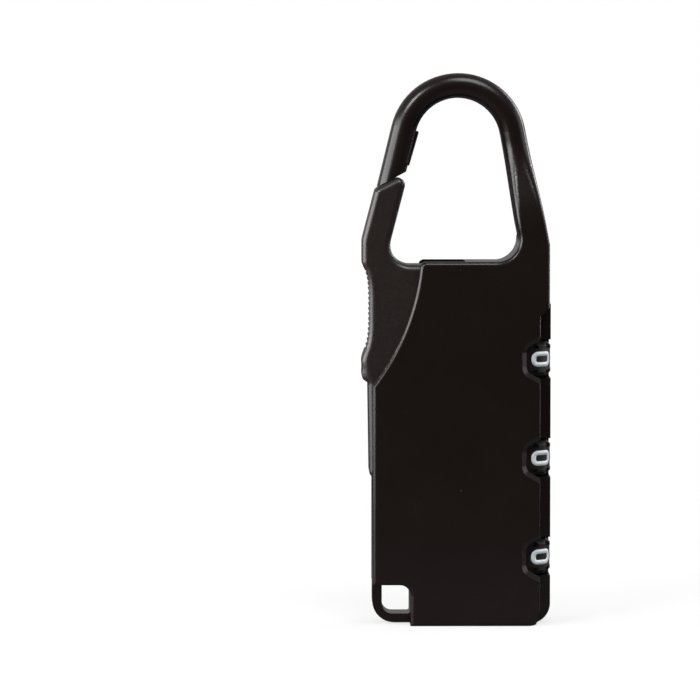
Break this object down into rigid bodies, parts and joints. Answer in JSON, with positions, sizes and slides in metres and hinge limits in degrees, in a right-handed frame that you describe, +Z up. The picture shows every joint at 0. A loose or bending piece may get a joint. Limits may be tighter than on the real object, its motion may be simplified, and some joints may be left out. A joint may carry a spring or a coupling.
{
  "type": "padlock",
  "caption": "Black zinc combination padlock with a carabiner-style sprung gate, a bent fixed shackle and number wheels at bevelled side windows.",
  "frame": {"origin": "centre of the flat bottom edge, midway through the depth", "axes": "+X towards the number wheels, -Y is the front face with the windows, +Z up towards the shackle's bow"},
  "size_m": [0.0276, 0.012, 0.08],
  "materials": {
    "black_zinc": "satin black paint on zinc",
    "lever_black": "matt black paint on zinc",
    "wheel_black": "satin black plastic with white figures",
    "brass": "plain brass",
    "nylon": "natural nylon",
    "steel": "bright steel"
  },
  "bodies": {
    "case": {"front_casting": "black_zinc", "back_cover": "black_zinc", "lever_pivot_pin": "steel", "lever_spring": "steel", "dial_axle": "steel", "axle_clips": "steel", "axle_spacer_bottom": "nylon", "axle_spacer_lower": "nylon", "axle_spacer_upper": "nylon", "axle_spacer_top": "nylon", "comb_spring": "steel", "comb_keepers": "steel", "keeper_screws": "steel", "detent_spring": "steel", "detent_rivets": "steel", "case_dowels": "steel"},
    "gate": {"gate_lever": "lever_black"},
    "comb": {"locking_comb": "steel"},
    "wheel_top": {"dial_wheel_top": "wheel_black", "gate_ring_top": "brass"},
    "wheel_middle": {"dial_wheel_middle": "wheel_black", "gate_ring_middle": "brass"},
    "wheel_bottom": {"dial_wheel_bottom": "wheel_black", "gate_ring_bottom": "brass"}
  },
  "joints": [
    {"name": "gate_hinge", "type": "hinge", "parent": "case", "child": "gate", "pos_m": [-0.0096, 0, 0.023], "axis": [0, 1, 0], "range_deg": [0, 12], "stiffness_Nm_per_rad": 0.12, "springref_deg": -14.32, "deforming": ["lever_spring"]},
    {"name": "comb_slide", "type": "slide", "parent": "case", "child": "comb", "axis": [0, 0, -1], "range_m": [0, 0.0021], "deforming": ["comb_spring"]},
    {"name": "wheel_top_spin", "type": "hinge", "parent": "case", "child": "wheel_top", "pos_m": [0.0082, 0, 0.03864], "axis": [0, 0, 1], "continuous": true},
    {"name": "wheel_middle_spin", "type": "hinge", "parent": "case", "child": "wheel_middle", "pos_m": [0.0082, 0, 0.02426], "axis": [0, 0, 1], "continuous": true},
    {"name": "wheel_bottom_spin", "type": "hinge", "parent": "case", "child": "wheel_bottom", "pos_m": [0.0082, 0, 0.00988], "axis": [0, 0, 1], "continuous": true}
  ],
  "couplings": [
    {"joint": "comb_slide", "follows": "gate_hinge", "m_per_rad": 0.0099}
  ]
}
